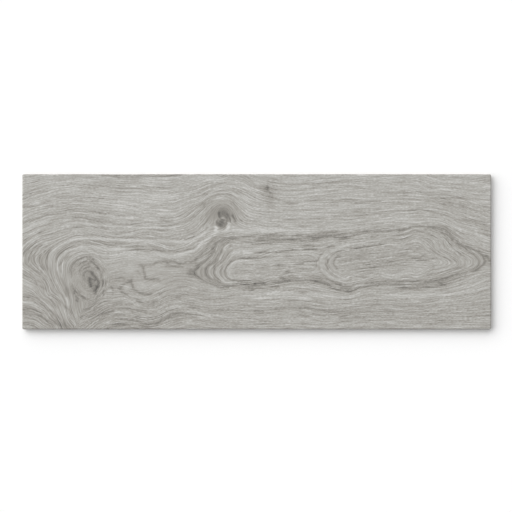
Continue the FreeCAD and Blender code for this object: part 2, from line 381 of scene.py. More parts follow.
# The inner loop, the curves nested in the right end and the small eye beside them
INNER_LINES = [
    (-45, 0.9, [(252, 253.4), (258, 253.3), (266, 252.6), (278, 252.2), (283, 251.4), (289, 250.8),
        (299, 250.4)]),
    (-16, 1.0, [(238, 258.1), (246, 258.6), (252, 258.4), (256, 257.6), (262, 256.8), (268, 257.2),
        (283, 255.8)]),
    (-28, 0.9, [(285, 256.6), (294, 256)]),
    (-22, 0.9, [(300, 245.8), (308, 245.4), (315, 245.5)]),
    (-30, 1.1, [(302, 249.8), (310, 249.4), (318, 249.1)]),
    (-28, 0.9, [(302, 261.8), (310, 261.4), (314, 261.4), (319, 260.8)]),
    (-24, 1.0, [(294, 264.6), (300, 264.2), (304, 263.6)]),
    (-28, 1.2, [(284, 270.8), (290, 271.1)]),
    (-30, 1.0, [(274, 265), (282, 265.4), (285, 266.8)]),
    (-26, 0.9, [(316.6, 262), (318.6, 258.4), (320, 255.6), (323, 253)]),
    (-17, 1.1, [(312, 264.6), (316, 265.4), (318.4, 266.8), (320, 270.2), (323, 274), (326.6, 277.6),
        (331, 281), (338, 284.4)]),
    (-14, 1.0, [(325, 259.8), (329.6, 259.2)]),
    (-28, 1.0, [(328.6, 259), (327.4, 262), (326.4, 265), (328, 267.4), (328.8, 270)]),
    (-28, 0.9, [(346.6, 250.2), (340, 251), (336, 252.4), (333.6, 254.4), (331, 256.2)]),
    (-24, 1.1, [(341.4, 256.2), (337, 256.6), (335.4, 259.8)]),
    (-28, 1.0, [(335.6, 259), (334, 261.4), (334, 264), (336, 267), (337, 270)]),
    (-9, 0.9, [(327.2, 265), (328.4, 269), (331, 272.4), (333.4, 274.6), (338, 280)]),
    (-10, 1.1, [(331.4, 272.4), (333.2, 274.2)]),
    (8, 1.7, [(315, 263.6), (318, 262), (321, 258.6), (324, 256), (329, 254.4), (332, 251.6), (340, 249),
        (347, 248.4)]),
    (6, 1.6, [(318, 264), (321, 266.4), (322.6, 270), (325.4, 273), (329, 275), (331, 277.6)]),
    (13, 1.7, [(337, 258.6), (335.8, 262), (337.6, 266)]),
    (10, 1.4, [(331, 275.8), (335, 279), (340, 281)]),
    (12, 1.2, [(340, 269.6), (348, 269.3)]),
    (-36, 0.9, [(326, 248), (331, 246.6), (336, 246.3)]),
    (-18, 1.1, [(327.8, 250), (329.6, 252)]),
    (10, 0.9, [(334, 248), (340, 246.8), (345, 246), (351, 245.2)]),
    (-41, 0.9, [(351, 248.8), (359, 247.6), (364, 246.8), (369, 246.4), (374, 245.2), (378, 244.4),
        (386, 243.9)]),
    (-18, 0.9, [(378, 243.6), (390, 242), (400, 239.8), (410, 237.6), (418, 236.8), (424, 238.6),
        (429, 242), (433, 247), (437, 251.4), (443, 255)]),
    (-14, 0.9, [(390, 236.6), (402, 234.8), (414, 232.6), (422, 232.4), (430, 234.8), (435, 237.6)]),
    (-20, 1.1, [(369, 236.9), (373, 237.4), (377, 236.8)]),
    (-20, 0.8, [(362, 264.9), (370, 264.6)]),
    (-22, 1.0, [(369, 268.2), (377, 267.3)]),
    (-16, 0.8, [(367, 273.7), (375, 273.4)]),
    (-13, 0.9, [(428, 233.4), (434, 236), (437, 239), (438.4, 244)]),
    (-16, 0.9, [(438.3, 243), (440.6, 246.6), (440, 249), (443, 250.6), (448, 253)]),
    (-20, 0.8, [(439.6, 230.6), (444.4, 234.6), (446.2, 239), (446.6, 243), (448.4, 248.6)]),
    (-22, 0.8, [(446.4, 233.6), (448.6, 239), (450, 243.6), (453, 248.2)]),
    (-15, 0.8, [(455.6, 250.8), (460.4, 254.4), (464.6, 258), (469.4, 261)]),
    (-17, 0.8, [(450, 255.6), (454.4, 259.6), (456.4, 262.6)]),
    (-21, 0.8, [(444, 256.4), (449, 259.6), (451.4, 263)]),
    (9, 1.0, [(427, 235.4), (433, 239.4), (436, 244.4), (437.6, 248.6), (443, 253), (449, 257.8)]),
    (11, 0.8, [(444, 237), (445.2, 243), (446.6, 248.6)]),
    (6, 1.1, [(449, 251.2), (456, 256.4), (462, 260.4), (467, 265)]),
    (16, 1.3, [(448.4, 261.4), (451.2, 264.2)]),
    (14, 1.1, [(454, 262.4), (456, 264.8)]),
    (9, 1.2, [(474.6, 262.4), (476.2, 264.4)]),
    (-9, 1.1, [(401, 249.8), (404, 246.8), (408, 245.4), (414, 244.8), (421, 245.6)]),
    (-18, 1.3, [(405, 250.8), (410, 248.8), (414, 247.6), (419, 247.6), (424, 249)]),
    (12, 1.1, [(409, 251.6), (413, 253.6), (419, 254)]),
    (-22, 1.0, [(410, 258), (416, 258.4), (420, 258.2), (422.6, 256), (427, 255.3)]),
    (-33, 0.9, [(416, 260.8), (424, 260), (430, 259.4), (436, 258.4)]),
]

# The lines that wrap the big knot, from the light band down to the lower left corner
WRAP_LINES = [
    (21, 1.6, [(50, 270), (49.6, 265), (49.8, 261), (50.6, 257), (52.4, 252.6), (55.4, 249), (60, 245.6),
        (64, 243.1), (68, 241.2), (73, 239.4), (80, 238.2), (100, 238.8), (120, 239.9), (140, 240.3),
        (160, 241), (180, 241.6)]),
    (22, 1.4, [(170, 241.4), (182, 241.6), (190, 240.6), (197, 238), (204, 233.6), (210, 227.6)]),
    (21, 1.8, [(176, 253), (187, 252.4), (195, 249), (200, 244.4), (205, 240), (212, 235), (219, 231.6)]),
    (17, 1.6, [(57.4, 261), (59.4, 258.4), (62, 256.4), (64.6, 254), (67, 252), (70, 250.4), (73, 249.2),
        (79, 247.8), (90, 247), (100, 248.2), (116, 249), (134, 249)]),
    (12, 3.2, [(108, 257), (125, 257), (145, 256.4), (165, 255.4), (190, 254.6)]),
    (-13, 0.9, [(58, 243.6), (62, 241), (70, 237.6), (80, 235.4), (90, 235), (100, 236), (120, 237.2),
        (140, 238), (165, 238.6), (188, 238.8), (196, 235.8), (203, 230.6), (208, 225.6)]),
    (-17, 1.1, [(56, 257), (59, 251.6), (64, 247.4), (70, 244.2), (76, 242.6), (85, 241.4), (95, 241.2),
        (103, 242), (115, 242.6), (128, 243)]),
    (-20, 0.9, [(56.4, 262), (57.2, 258), (59, 255.4), (61.4, 252.8), (64, 250.8), (67, 249), (71, 247.4),
        (75, 246.4)]),
    (-22, 0.9, [(86, 244), (104, 245), (120, 247), (138, 247), (156, 247.2), (172, 249)]),
    (-24, 0.9, [(126, 250), (142, 250), (157, 250.2), (170, 251.2), (182, 251.6), (189, 249.6),
        (194, 248.6), (198, 244)]),
    (-18, 0.9, [(58, 266.6), (61, 263.4), (64.2, 259.6), (66.6, 256), (69, 253.4), (73, 251.5),
        (78, 250.3)]),
    (14, 1.0, [(69.4, 254.6), (72, 253), (76.4, 251)]),
    (14, 1.0, [(65, 261), (63, 264), (61.8, 267), (62.6, 270.6)]),
    (12, 1.2, [(55.8, 262.6), (56.4, 266.6), (57.6, 271)]),
    (-26, 0.9, [(51, 249.6), (48.4, 253), (47.4, 257), (47.3, 261), (47.6, 266), (49, 271)]),
    (16, 0.9, [(50, 240.6), (46, 243.6), (42, 247), (38.4, 251), (36, 255.4), (35.4, 259), (36.2, 262.4),
        (39.4, 267.4), (44, 273)]),
    (14, 0.9, [(43, 241), (39.6, 242.5), (36, 244.8), (33, 247.2), (29.6, 250.2)]),
    (-17, 0.8, [(43.6, 241.9), (38.6, 244.6), (35.4, 247), (33, 249.6), (31.4, 253), (31.2, 255)]),
    (12, 0.8, [(46, 241.6), (42, 243.6), (38.6, 246), (36, 248.2), (34, 250.4), (32.6, 253.8)]),
    (-16, 0.8, [(44, 243.8), (41, 245.6), (37.6, 248.8), (35.8, 251.8), (34.4, 256), (34, 259), (35.4, 262),
        (37, 265.4), (38.6, 268.6)]),
    (-20, 1.1, [(37.4, 240.6), (34, 243.8), (31, 246.6), (28, 249.2), (25.6, 251.4), (22.6, 255)]),
    (15, 1.5, [(22.6, 246.8), (27, 243), (31, 240.4), (35, 238), (40, 235.4)]),
    (-12, 1.0, [(22, 242), (29, 237.6), (37, 233.6), (46, 229.6)]),
    (13, 1.0, [(26, 235.2), (31, 234.2), (38, 233.2)]),
    (-22, 0.9, [(38.4, 233.2), (41.4, 231.7)]),
    (14, 1.6, [(21.6, 230.4), (27, 228.7), (32, 227.8)]),
    (-14, 1.1, [(30.4, 256), (28.6, 259.4), (28, 262.6), (29.2, 265.6), (32, 268), (35.6, 270.4),
        (38.4, 272.4), (41, 275.6)]),
    (16, 0.9, [(29.4, 260.6), (29.6, 264.8)]),
    (14, 1.8, [(22.6, 262.6), (24.4, 256.6)]),
    (-20, 0.9, [(41.4, 264.2), (42.6, 267.4), (44, 270.4)]),
    (14, 0.9, [(42.4, 250.2), (42.6, 254.4)]),
    (-20, 1.0, [(44.6, 250), (44, 252.6)]),
    (-20, 1.0, [(40.2, 255.6), (39.2, 258.4)]),
    (-21, 1.1, [(21.6, 273.2), (25.5, 275.4), (31, 278), (35, 281.4), (39, 285.2), (43.5, 288), (46, 290)]),
    (-12, 2.2, [(21.6, 297.4), (26, 297.4), (31, 298)]),
    (-16, 1.2, [(21.6, 295.4), (28, 296), (33, 296.8), (36.6, 298.8), (38.6, 301.4)]),
    (-14, 0.9, [(31.6, 298.4), (34, 300.4), (36.6, 303.2)]),
    (-22, 1.1, [(39, 301), (41.6, 303.4), (46.5, 308), (51, 311.4), (55, 315), (59, 319.6)]),
    (12, 1.6, [(22.6, 303), (31, 303.4), (37, 306.8), (41.4, 310)]),
    (-19, 1.2, [(21.6, 308.6), (28, 308.8), (34, 310), (38, 311.8), (41.6, 314.2)]),
    (-24, 1.0, [(21.6, 312.6), (25, 313), (29, 314.2), (35, 314.8), (41, 316.4), (46, 319.8), (50, 323)]),
    (14, 1.2, [(21.6, 320.4), (30, 320.8), (36, 322.4), (42, 325)]),
    (-20, 1.1, [(21.6, 322.5), (29, 323.2), (35, 324.6)]),
    (-18, 1.1, [(50, 320.4), (54, 322.6), (58, 324.4), (63, 326.6)]),
    (-15, 1.1, [(43, 276.4), (45.6, 281), (49, 287), (53, 291.4), (55, 294), (56.6, 298), (59.6, 300.6)]),
    (-22, 1.0, [(59, 299.6), (61.6, 302.4), (64.6, 306.4), (68, 308.8), (70.2, 311), (71.8, 315)]),
    (-17, 0.9, [(52.8, 295), (54.6, 298.8), (57, 302), (60, 305.6)]),
    (-15, 0.9, [(47.6, 295), (49.6, 298), (53.6, 303.6), (58.6, 309.4)]),
    (16, 0.9, [(46.4, 291.8), (48.4, 294.4), (51, 298.2)]),
    (13, 1.0, [(60.2, 294.6), (62, 299), (65.4, 304.8)]),
    (19, 1.8, [(66, 296.6), (68, 301), (69.2, 306)]),
    (13, 1.3, [(47.2, 306), (51, 308), (55, 310.6), (59.4, 315)]),
    (15, 0.9, [(55.4, 279.2), (57.8, 283.8)]),
    (14, 0.9, [(60.2, 272.6), (62.2, 277.8)]),
    (-15, 0.9, [(50.4, 278.6), (52.6, 281.6), (54.6, 286.4)]),
]

# Growth lines elsewhere on the face
OPEN_LINES = [
    (-20, 1.0, [(100, 175.4), (108, 175.4), (114, 176), (119, 176.6)]),
    (-8, 1.0, [(112, 176), (126, 176.6), (142, 177.4)]),
    (-26, 1.0, [(134, 175.2), (150, 175.6), (162, 175.8), (182, 175.2)]),
    (-16, 1.0, [(220, 176), (232, 176), (242, 176.6), (252, 178.6)]),
    (-15, 1.0, [(69, 183), (75, 184.2), (82, 184.5), (90, 184.7), (97, 185.4), (103, 186)]),
    (-15, 1.0, [(100, 185.8), (110, 186.5), (116, 187), (124, 187.5), (131, 188.4), (140, 188.4),
        (151, 188.5)]),
    (-14, 0.9, [(78, 188.4), (84, 187.4), (90, 187.4), (96, 188.4)]),
    (-12, 0.9, [(57, 189.4), (66, 189.6)]),
    (13, 1.0, [(50, 187.4), (56, 186.8), (62, 186.8)]),
    (14, 1.1, [(58, 191.4), (64, 190.9), (70, 191)]),
    (-15, 0.9, [(36, 191.9), (42, 191.3), (48, 191.4)]),
    (-16, 0.9, [(21.6, 195.2), (28, 194), (35, 192.4)]),
    (-17, 0.9, [(21.6, 199.8), (26, 198.8), (31, 197.6)]),
    (13, 0.9, [(47, 198.8), (55, 198.2)]),
    (-13, 1.0, [(57, 197.2), (63, 197.5), (74, 198)]),
    (-13, 0.9, [(73, 199.6), (80, 199.4), (88, 199.4)]),
    (-14, 0.9, [(90, 199.8), (94, 200.4), (99, 200.5)]),
    (-14, 0.9, [(98, 198.5), (105, 198.4)]),
    (-13, 1.0, [(39, 203), (46, 201.6), (53, 200.6)]),
    (-18, 1.2, [(22.6, 207.8), (28, 206.6), (35, 206.2)]),
    (13, 1.0, [(22, 210), (31, 209.2)]),
    (13, 0.9, [(39, 206.2), (47, 205)]),
    (-13, 0.9, [(44, 206.8), (49, 206.2), (54, 205.8)]),
    (-17, 1.5, [(64, 211.8), (71, 210.8), (78, 211), (85, 211.1), (91, 211.6), (97, 212.3), (104, 212.6)]),
    (-15, 0.9, [(42, 215), (49, 214)]),
    (-16, 0.9, [(49, 215.6), (56, 214.6), (61, 213.4), (67, 211.4)]),
    (-17, 1.0, [(21.6, 223), (28, 220.8), (33, 219.6), (39, 218.4), (44, 217.2), (50, 216)]),
    (14, 1.6, [(32, 225.4), (40, 223), (49, 220.4)]),
    (-18, 1.1, [(72, 217.9), (80, 217.4), (87, 217.6), (92, 218.6), (97, 219.3), (105, 219.5)]),
    (-17, 1.0, [(89, 220.8), (95, 221.4), (100, 221.7)]),
    (-18, 0.9, [(60.4, 223.6), (63.4, 223.4)]),
    (-17, 1.0, [(75, 227.2), (79, 226.8), (83, 226.4)]),
    (-12, 0.9, [(82, 226.4), (92, 226.4), (103, 227)]),
    (-15, 1.0, [(98, 213), (104, 214.2), (110.6, 213.6)]),
    (-14, 0.9, [(99, 222.4), (106, 221.2), (112, 221.8), (116, 224)]),
    (21, 0.9, [(100, 225.6), (114, 226.4), (124, 226.8), (135, 227.4), (148, 227.6), (160, 227.8),
        (169, 228.3)]),
    (15, 0.9, [(169, 228.2), (175, 227), (182, 225)]),
    (-16, 0.9, [(98, 227.7), (108, 227.6), (115, 228.5), (125, 228.5)]),
    (-9, 0.9, [(146, 229.6), (158, 229.6), (169.6, 229.4)]),
    (-13, 0.9, [(130, 225.8), (142, 226), (154, 225.8)]),
    (-18, 0.9, [(160, 226.2), (167, 226), (173, 225), (181, 223.4)]),
    (-17, 0.9, [(165, 222.9), (170, 222.2), (176, 222)]),
    (-12, 0.9, [(144, 222.5), (154, 222.4)]),
    (-10, 0.9, [(157, 218.7), (166, 218.3), (175, 217.7)]),
    (-13, 0.9, [(151, 206.7), (156, 206.2), (163, 206)]),
    (-11, 0.9, [(126, 205.4), (139, 205.8)]),
    (-11, 0.9, [(157, 201), (168, 200.8), (179, 199.8)]),
    (16, 0.9, [(111, 218.6), (120, 218.6), (128, 218.4), (135, 218.4)]),
    (12, 1.4, [(143, 220.2), (152, 220.4), (161, 220.2)]),
    (14, 1.2, [(157, 214.8), (168, 214.4), (177, 213.4)]),
    (12, 1.6, [(150, 197), (162, 197.4), (172, 197.2), (181, 195.8)]),
    (12, 1.0, [(149, 203.3), (156, 203.4), (163, 203.2)]),
    (-13, 1.2, [(212, 191.4), (222, 190.4), (230, 189.4), (236, 190), (243, 192.4)]),
    (-10, 1.0, [(215, 195), (222, 194.6), (231, 194.8)]),
    (-12, 1.1, [(235, 192.6), (242, 194)]),
    (-7, 1.2, [(266.6, 185), (268, 190), (270.6, 195), (271.6, 199)]),
    (-16, 1.2, [(204, 196.6), (208.6, 193.8)]),
    (-24, 1.0, [(205.6, 230.4), (208.6, 226.8)]),
    (-15, 1.0, [(238, 220), (248, 221), (260, 221)]),
    (-12, 0.9, [(278, 200), (288, 202.6), (297, 203), (315, 200.6), (338, 199.6), (362, 199)]),
    (-13, 0.9, [(272, 188), (284, 189.4), (298, 190), (322, 187), (338, 186)]),
    (-12, 0.9, [(268, 181.6), (280, 183.4), (292, 185), (320, 183), (352, 181)]),
    (-12, 0.9, [(353, 203.2), (366, 202), (382, 201)]),
    (-12, 0.9, [(280, 211.6), (300, 211), (318, 210.6)]),
    (-20, 1.0, [(264, 219.4), (285, 219), (305, 219.2), (330, 217.8), (352, 216), (368, 214.2),
        (382, 213)]),
    (-11, 0.9, [(366, 191), (380, 192), (396, 194), (420, 192), (434, 194)]),
    (-12, 0.9, [(386, 199.6), (408, 199.2), (430, 199), (446, 198.2), (458, 198), (472, 200)]),
    (-10, 0.9, [(438, 201.6), (447, 205)]),
    (-10, 0.9, [(448, 201.6), (458, 204.4), (472, 209.6)]),
    (-12, 0.9, [(368, 214.2), (390, 211.8), (420, 210.4), (434, 212.6), (449, 216.6)]),
    (-22, 0.9, [(455, 218.8), (464, 220), (476, 222.4), (491, 227)]),
    (-13, 0.9, [(463, 218.2), (476, 220.6), (491, 223.4)]),
    (14, 1.3, [(438, 222.4), (450, 225), (462, 229.6), (480, 236), (490, 240)]),
    (7, 1.4, [(376, 221), (395, 221.4), (418, 221)]),
    (11, 2.0, [(236, 230.6), (255, 230.4), (275, 229.6), (300, 230), (318, 228)]),
    (-30, 0.9, [(254, 311.2), (264, 311.2)]),
    (-19, 1.4, [(266, 309), (284, 308.2), (300, 308), (316, 309.4), (330, 312), (347, 311.6)]),
    (-18, 0.9, [(216, 309.8), (236, 310.6), (257, 311.6)]),
    (14, 1.0, [(430, 294.6), (446, 294), (462, 292), (476, 290), (490, 287)]),
    (12, 1.3, [(446, 289.4), (464, 286), (480, 282), (490, 277.6)]),
    (14, 1.2, [(304, 292.8), (318, 294), (328, 295.6), (338, 297.6)]),
    (9, 1.6, [(252, 293), (280, 293.4), (300, 294)]),
    (12, 1.8, [(388, 295.6), (412, 296), (428, 295)]),
]

# Thin crooked lines between the big knot and the loop
CROOKED_LINES = [
    (-28, 1.1, [(151.6, 264.8), (154.6, 264), (156, 262.6), (159, 262), (163, 261.6), (166.4, 261.8),
        (168, 263.6), (169.6, 261.6), (173, 261.4), (176, 262.2), (178.6, 264), (181, 263.6)]),
    (-18, 1.1, [(178.6, 264), (181, 263.6), (184, 263.4), (187, 262.2), (191, 261.9), (194, 261),
        (198, 258)]),
    (-32, 1.2, [(140.6, 264.6), (143.2, 267), (143.6, 270), (144.4, 273), (145.2, 276), (145.2, 278.6),
        (147.6, 279.4), (152, 279.3), (156, 279), (160, 279.4)]),
    (-13, 1.3, [(138, 266.6), (142, 265.2), (146.6, 265.4), (152, 264.8)]),
    (-13, 0.9, [(133.6, 281.8), (138, 280.6), (143, 280)]),
    (-17, 0.9, [(151, 281), (156, 281.2), (160, 281.6), (160.4, 283.6)]),
    (-28, 1.0, [(133, 279.2), (131.4, 280.6), (131.6, 283), (132.8, 285.6), (133, 288), (135, 290.2),
        (138, 292.2), (142, 293.6), (146, 294.4), (150.6, 294.5), (154, 293.2)]),
    (-20, 1.1, [(158, 295), (160.6, 294.6), (162.6, 293)]),
    (-24, 1.5, [(126, 283.2), (129, 282.2), (131.4, 281)]),
    (-16, 1.6, [(126.6, 280), (130.4, 280.2), (133, 279.2)]),
    (-20, 1.1, [(118, 278), (121.4, 277.6), (124, 278.4), (124.4, 280.6)]),
    (-10, 1.2, [(107, 283), (111, 280.6), (115, 279.6), (119, 280)]),
    (-32, 1.1, [(121.2, 290.8), (123.6, 292.8), (126, 294.2), (129, 294.6)]),
    (-20, 1.1, [(110.6, 286), (112.6, 288.6), (113.2, 292), (112.6, 295.4)]),
    (-20, 1.6, [(120, 291), (120.6, 287.6), (123, 285), (125.6, 284)]),
    (-15, 0.9, [(164, 266.6), (174, 266.4), (184, 267.4)]),
    (-12, 1.0, [(136.6, 271), (139.6, 273), (140.6, 276)]),
]

# Lines that hump over the dark place at the lower edge
HUMP_LINES = [
    (-24, 1.0, [(98, 315.2), (104, 313.4), (109, 311.8), (114, 311.1)]),
    (-25, 1.2, [(138, 310.2), (142.5, 311.2), (147.4, 311.8)]),
    (-14, 0.9, [(118, 309), (128, 308.8), (138, 309.6)]),
    (-22, 0.9, [(134.6, 317.5), (140, 317.3)]),
    (-17, 0.9, [(104, 324.6), (113, 324.3), (124, 324.6), (133, 325)]),
    (-13, 0.9, [(113, 319.4), (122, 319), (134, 319.2)]),
    (-12, 0.9, [(113, 316.2), (124, 315.8), (133, 316.4)]),
    (-16, 0.9, [(132, 323.2), (136.6, 323.6)]),
    (-22, 1.0, [(135.6, 299.4), (139, 301), (142.6, 303)]),
    (-12, 0.9, [(118, 305.8), (126, 304.7), (135, 304.6)]),
    (13, 1.0, [(112, 300.4), (118, 299.6), (125, 299.8)]),
    (12, 1.1, [(124, 301.2), (136, 301.4)]),
    (13, 0.9, [(117, 306.8), (124, 306.5), (129, 306.4)]),
    (12, 1.4, [(131, 306.4), (141, 306.8)]),
    (15, 0.9, [(113, 312.8), (120, 311.6), (126, 311.4), (131, 312)]),
    (13, 0.9, [(134, 313.6), (146, 313.4)]),
    (13, 0.9, [(113, 317.4), (122, 317.2), (133, 317.2)]),
    (12, 0.9, [(116, 320.6), (123, 320.6)]),
    (13, 0.9, [(103, 322.8), (110, 322.4)]),
    (-22, 1.4, [(155, 325.6), (159, 322), (162, 318.6), (162.6, 315.6)]),
    (-18, 1.3, [(163.4, 319.4), (167, 317.4), (171, 315.4), (176, 313.9), (184, 313.3)]),
    (-10, 1.0, [(184, 313.6), (190, 314.6), (197, 315), (206, 315.4)]),
    (-13, 0.9, [(164, 310.2), (171, 309.6), (178, 308.4)]),
    (-14, 1.2, [(188, 307.4), (194, 308.6), (201, 309.6)]),
    (-15, 1.1, [(187, 290.6), (194, 292.4), (199, 293.8), (205, 294.8)]),
    (-15, 0.9, [(181, 294.6), (188, 294.3)]),
    (-16, 0.9, [(175, 297.3), (181, 297.3)]),
    (-16, 0.9, [(176, 286.2), (188, 286.4)]),
    (-18, 1.0, [(150, 303.6), (154, 302), (158, 301.3)]),
    (15, 0.9, [(186, 311.4), (194, 311.4), (201, 311.6)]),
    (13, 1.1, [(166, 328.6), (174, 327.2), (180, 326.3), (186, 325.4)]),
    (14, 0.9, [(183, 321.9), (191, 321.4)]),
    (13, 0.9, [(197, 322.3), (210, 322.3)]),
]

# Rings and cracks of the big knot
BIG_KNOT_LINES = [
    (-27, 1.3, [(71.6, 277), (71, 270.6), (72, 267), (74, 263.4), (76.4, 261.2), (79.6, 259.2), (83, 258),
        (87, 257.2), (91, 258), (95, 261)]),
    (-28, 1.1, [(79, 266), (81, 263.6), (84, 261.8), (88, 260.8), (92, 261.8), (95, 264.4), (98, 268),
        (100, 271.4), (101.4, 276), (102, 281)]),
    (-16, 1.0, [(92, 258), (97, 261.6), (101, 265), (103.6, 269), (104, 274)]),
    (-15, 0.9, [(79.6, 274), (80.2, 270), (82, 266.8), (85, 264.8), (88.6, 264.4), (92, 265.6)]),
    (-26, 1.3, [(95, 285.6), (98, 287.6)]),
    (-29, 0.9, [(83.6, 268.8), (87, 267.6), (90, 266.2)]),
    (-21, 1.2, [(96.6, 266.6), (98, 269.6)]),
    (-18, 0.9, [(85, 282), (84.4, 278), (83.6, 274), (85, 272), (88, 271), (91, 272)]),
    (-44, 1.5, [(90, 271.4), (92.4, 273.6), (94.4, 276), (97, 279), (98.6, 282), (98.6, 285.4), (97, 288.4),
        (95.6, 291.4), (95.8, 295)]),
    (-46, 1.6, [(90, 277), (89.4, 280.4), (90.4, 284.4), (91.2, 287.6)]),
    (-24, 1.1, [(90, 279), (93, 279.4), (96, 280.4)]),
    (-42, 0.9, [(103, 280), (102.8, 283.6), (102.2, 287.4)]),
    (-24, 0.9, [(106, 280.4), (106.4, 285.6)]),
    (-26, 0.9, [(104.6, 290), (103, 296)]),
    (-12, 1.3, [(71.6, 284.6), (73.4, 289), (76, 291.6), (78.6, 294)]),
    (-32, 1.1, [(74.6, 291), (74.4, 294)]),
    (-28, 1.1, [(75.6, 295.4), (77.4, 297.8), (79.4, 299.4)]),
    (-38, 0.9, [(75.8, 299.6), (78.2, 301.8)]),
    (-34, 1.0, [(80.8, 295.8), (83, 297.2), (86, 298.8)]),
    (-20, 0.9, [(79.4, 293), (79.8, 295)]),
]

# Rims and specks of the small knot
SMALL_KNOT_LINES = [
    (-38, 1.1, [(227, 213), (228.5, 216.6), (229.6, 219.4), (230.8, 222.8)]),
    (-36, 1.2, [(231.4, 214.6), (233.6, 217.2), (235.2, 219.6), (235.8, 222)]),
    (-36, 1.1, [(219.6, 211.6), (219.4, 215), (219.6, 218)]),
    (-34, 0.9, [(225.4, 215.6), (226.6, 218.6), (227, 222), (226.2, 224.8), (224, 228.8)]),
    (-28, 0.8, [(217.6, 219.4), (216.8, 222), (217.2, 224.6)]),
    (12, 0.9, [(218.6, 221.6), (219.6, 219.4), (222.4, 218), (224.8, 219), (225.8, 221.6)]),
    (30, 1.0, [(221.6, 218.4), (223.8, 217.8)]),
    (20, 0.9, [(216, 219), (215.3, 222.6)]),
    (12, 1.0, [(231, 217), (232.6, 221.4)]),
]

# Soft shades: grey levels at the middle, centre, half length and half width, and turn in degrees
SHADES = [
    (-12, (92, 281), (14, 9), 70),
    (-16, (94, 290), (2.6, 4), 0),
    (-12, (93, 283), (3.4, 5), 0),
    (-12, (75, 291), (7, 5), 50),
    (-10, (68, 291), (3, 5), 0),
    (-9, (85, 268), (16, 11), 0),
    (-27, (224, 213), (16, 11), 0),
    (-31, (223.4, 213.2), (4.8, 3.9), 0),
    (-58, (221.8, 223.5), (3.7, 4.8), 0),
    (-6, (206, 214), (9, 14), 0),
    (40, (215.8, 228.4), (1.8, 3), -20),
    (30, (227.8, 227), (2.4, 3.6), 35),
    (14, (222.6, 230.8), (5, 1.5), 0),
    (-36, (267, 188), (1.6, 2.8), -10),
    (-17, (270.4, 195), (2.4, 3), -20),
    (-17, (269, 193), (8, 11), -20),
    (-8, (271, 208), (4, 13), 0),
    (-16, (68, 327.4), (7, 5), 0),
    (-12, (62, 324.6), (13, 6), 10),
    (-11, (149, 324.4), (13, 6), 0),
    (-8, (144, 326), (5, 3), 0),
    (-6, (174, 317), (12, 4), -10),
    (-20, (192, 274), (5, 4), 0),
    (-16, (197, 268), (3, 2.4), -40),
    (-10, (214, 262), (12, 26), 25),
    (-10, (236, 271), (4, 4), 0),
    (-12, (115, 280), (11, 4.5), 0),
    (16, (126.4, 287.6), (3.6, 3.4), 0),
    (12, (140.6, 285), (6, 3.6), 0),
    (10, (157, 286), (6, 3), 0),
    (9, (150, 297.4), (10, 2.4), 0),
    (9, (130, 270), (7, 4), 0),
    (-5, (200, 206), (17, 22), 0),
    (-7, (460, 205), (26, 7), 10),
    (-9, (370, 260), (30, 11), 0),
    (-6, (395, 312), (90, 12), 0),
    (-7, (97, 315), (13, 14), 0),
    (6, (150, 203), (40, 12), 0),
    (7, (270, 252), (28, 9), 0),
    (8, (425, 268), (24, 6), -8),
    (6, (415, 295), (34, 4), 0),
    (6, (300, 296), (34, 5), 0),
    (5, (412, 222), (34, 4), 0),
    (6, (472, 284), (17, 8), -20),
    (8, (238, 231.4), (14, 3), 0),
    # The next three make the face broadly lighter towards the top and darker towards the lower left
    (6, (260, 178), (330, 52), 0),
    (4, (310, 222), (70, 18), 0),
    (-9, (110, 326), (130, 36), 0),
    (-7, (38, 264), (28, 26), 0),
    (-6, (90, 296), (26, 20), 0),
    (-5, (186, 266), (18, 15), 0),
    (-5, (446, 280), (44, 16), 0),
    (12, (26, 283.6), (7, 6), 0),
    (10, (26, 268.6), (5, 3.4), 10),
]

# All the growth lines, in the order that they are drawn in
GROWTH_LINES = (
    LOOP_LINES + TURN_LINES + INNER_LINES + WRAP_LINES + OPEN_LINES + CROOKED_LINES + HUMP_LINES
    + BIG_KNOT_LINES + SMALL_KNOT_LINES
)


def photo_places(points):
    """Points of the face, in metres, as places in the photograph."""
    return np.column_stack((CENTRE_X + points[:, 0] / PIXEL, CENTRE_Y - points[:, 1] / PIXEL))


def smooth_curve(points):
    """The points joined by a Catmull-Rom curve, as many short steps."""
    p = np.array(points, float)
    p = np.vstack((2 * p[0] - p[1], p, 2 * p[-1] - p[-2]))
    t = np.linspace(0, 1, CURVE_STEPS, endpoint=False)[:, None]
    stretches = []
    for before, start, end, after in zip(p, p[1:], p[2:], p[3:]):
        bend = 2 * before - 5 * start + 4 * end - after
        twist = 3 * start - before - 3 * end + after
        stretches.append(start + 0.5 * ((end - before) * t + bend * t**2 + twist * t**3))
    return np.vstack(stretches + [p[-2]])


def thin_plate(centres, levels, places):
    """The smooth surface that takes about those levels at the centres, read at the places."""

    def bend(a, b):
        square = ((a[:, None] - b[None]) ** 2).sum(2)
        return square * np.log(square + TINY)

    def plane(a):
        return np.column_stack((np.ones(len(a)), a))

    count = len(centres)
    system = np.zeros((count + 3, count + 3))
    system[:count, :count] = bend(centres, centres) + FIBRE_SLACK * np.eye(count)
    system[:count, count:] = plane(centres)
    system[count:, :count] = plane(centres).T
    weights = np.linalg.solve(system, np.append(levels, np.zeros(3)))
    read = [
        bend(part, centres) @ weights[:count] + plane(part) @ weights[count:]
        for part in np.array_split(places, len(places) // PLACES_AT_ONCE + 1)
    ]
    return np.concatenate(read)


def level_surface(lines, places):
    """The smooth surface through those fibre lines at their levels, read at the places."""
    centres = np.vstack([points for level, points in lines])
    levels = np.concatenate([np.full(len(points), level) for level, points in lines])
    return thin_plate(centres / FIBRE_SCALE, levels, places / FIBRE_SCALE)


